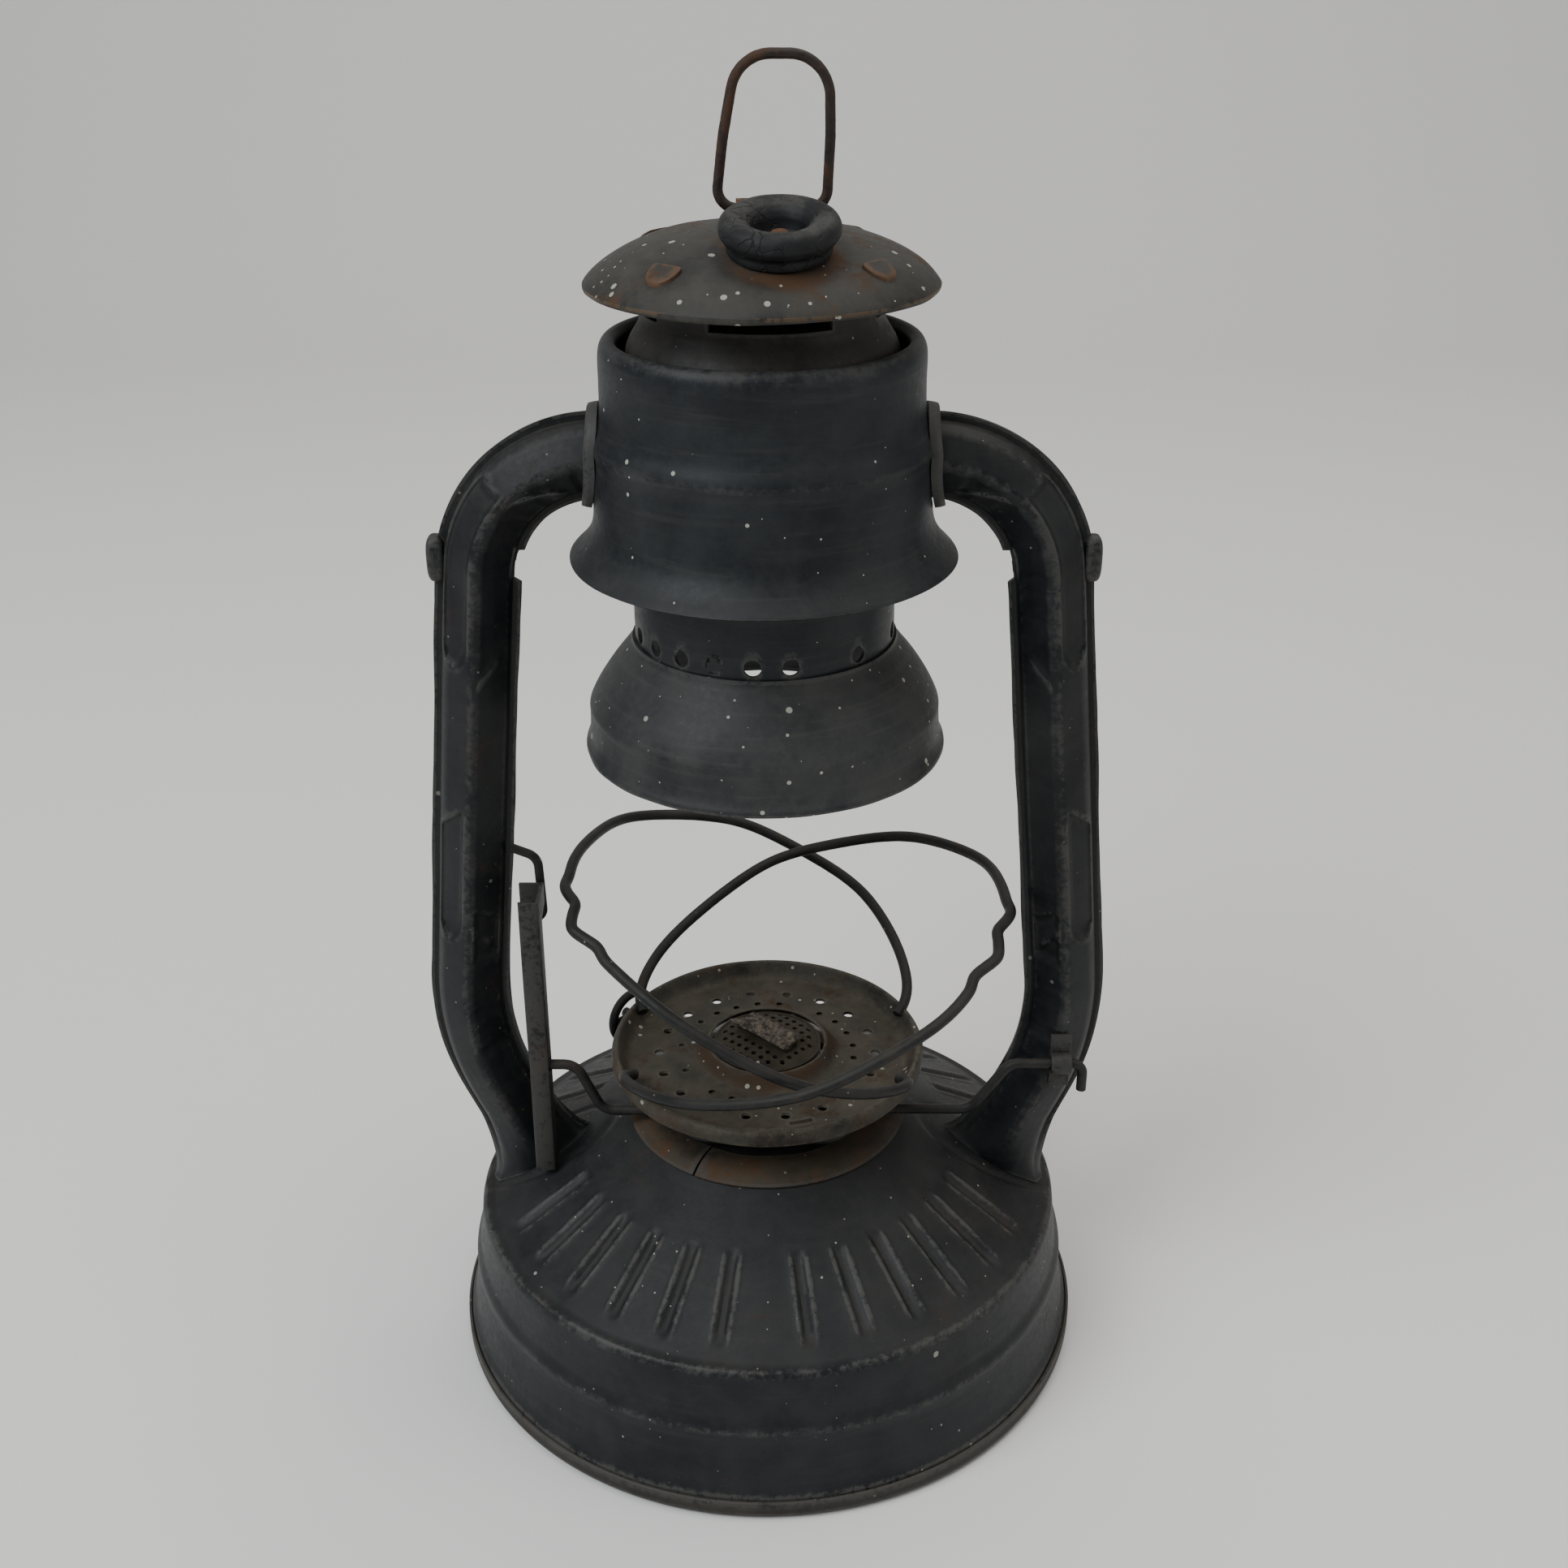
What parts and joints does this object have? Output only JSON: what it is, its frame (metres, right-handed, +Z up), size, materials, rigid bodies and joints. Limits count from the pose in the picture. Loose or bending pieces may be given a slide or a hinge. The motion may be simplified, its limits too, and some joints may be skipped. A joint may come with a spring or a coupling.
{
  "type": "hanging lantern",
  "caption": "Tubular flat-wick lantern with a sliding chimney, a lifting globe plate with wire guards, a wick winder and a hanging ring on its cap.",
  "frame": {"origin": "centre of the base ring, on the surface it stands on", "axes": "+Z up, front towards -Y (the side with the knob on the cap), +X to the lantern's side with the wire's lug"},
  "size_m": [0.1748, 0.168, 0.3291],
  "materials": {
    "old_paint": "worn, dusty old grey paint",
    "dark_paint": "worn dark paint",
    "rusty_steel": "brown rust over old paint",
    "old_brass": "dull and tarnished",
    "cotton": "woven, charred at the top",
    "cork": "pressed cork"
  },
  "bodies": {
    "frame": {"fount_shell": "old_paint", "base_ring": "dark_paint", "fount_bottom": "dark_paint", "neck_ring": "rusty_steel", "burner_collar": "old_brass", "filler_neck": "old_paint", "left_tube_front": "old_paint", "left_tube_rear": "old_paint", "right_tube_front": "old_paint", "right_tube_rear": "old_paint", "left_bail_ear": "rusty_steel", "right_bail_ear": "rusty_steel", "hood_shell": "old_paint", "left_hood_collar": "old_paint", "right_hood_collar": "old_paint", "hood_guide_ring": "dark_paint", "chimney_springs": "dark_paint", "burner_base": "old_brass", "burner_gallery": "old_brass", "burner_deck": "old_brass", "wick_tube": "old_brass", "lever_staple": "dark_paint", "wire_lug": "old_paint"},
    "chimney": {"bell": "old_paint", "chimney_tube": "old_paint", "smoke_collar": "old_paint", "cap_pan": "dark_paint", "cap_dome": "old_paint", "cap_tabs": "old_paint", "cap_knob": "dark_paint", "knob_rivet": "rusty_steel", "ring_strap": "rusty_steel", "strap_rivets": "rusty_steel"},
    "ring": {"lift_ring": "dark_paint"},
    "lever": {"lift_lever": "old_paint"},
    "wire": {"lift_wire": "dark_paint"},
    "plate": {"globe_plate": "old_paint", "guard_wire_left": "dark_paint", "guard_wire_right": "dark_paint"},
    "winder": {"winder_shaft": "dark_paint", "winder_spurs": "old_brass", "winder_loop": "dark_paint"},
    "wick": {"wick": "cotton"},
    "filler_cap": {"filler_cap": "dark_paint", "filler_gasket": "cork"}
  },
  "joints": [
    {"name": "chimney_lift", "type": "slide", "parent": "frame", "child": "chimney", "axis": [0, 0, 1], "range_m": [0, 0.025]},
    {"name": "ring_swing", "type": "hinge", "parent": "chimney", "child": "ring", "pos_m": [0.002, -0.001, 0.2969], "axis": [1, 0, 0], "range_deg": [-85, 5]},
    {"name": "lever_lift", "type": "slide", "parent": "frame", "child": "lever", "axis": [0, 0, 1], "range_m": [0, 0.014]},
    {"name": "wire_swing", "type": "hinge", "parent": "frame", "child": "wire", "pos_m": [0.07612, -0.0109, 0.084], "axis": [0, 1, 0], "range_deg": [0, 6.2]},
    {"name": "plate_lift", "type": "slide", "parent": "frame", "child": "plate", "axis": [0, 0, 1], "range_m": [0, 0.0091]},
    {"name": "winder_turn", "type": "hinge", "parent": "frame", "child": "winder", "pos_m": [-0.00341, -0.00366, 0.0723], "axis": [-0.7314, 0.682, 0], "range_deg": [-120, 150]},
    {"name": "wick_raise", "type": "slide", "parent": "frame", "child": "wick", "axis": [0, 0, 1], "range_m": [-0.007, 0.0087]},
    {"name": "filler_cap_turn", "type": "hinge", "parent": "frame", "child": "filler_cap", "pos_m": [0, 0.0556, 0.052], "axis": [0, 0.4991, 0.8666], "range_deg": [0, 540]}
  ],
  "couplings": [
    {"joint": "wire_swing", "follows": "lever_lift", "rad_per_m": 7.43},
    {"joint": "plate_lift", "follows": "lever_lift", "ratio": 0.643},
    {"joint": "wick_raise", "follows": "winder_turn", "m_per_rad": 0.0033}
  ]
}
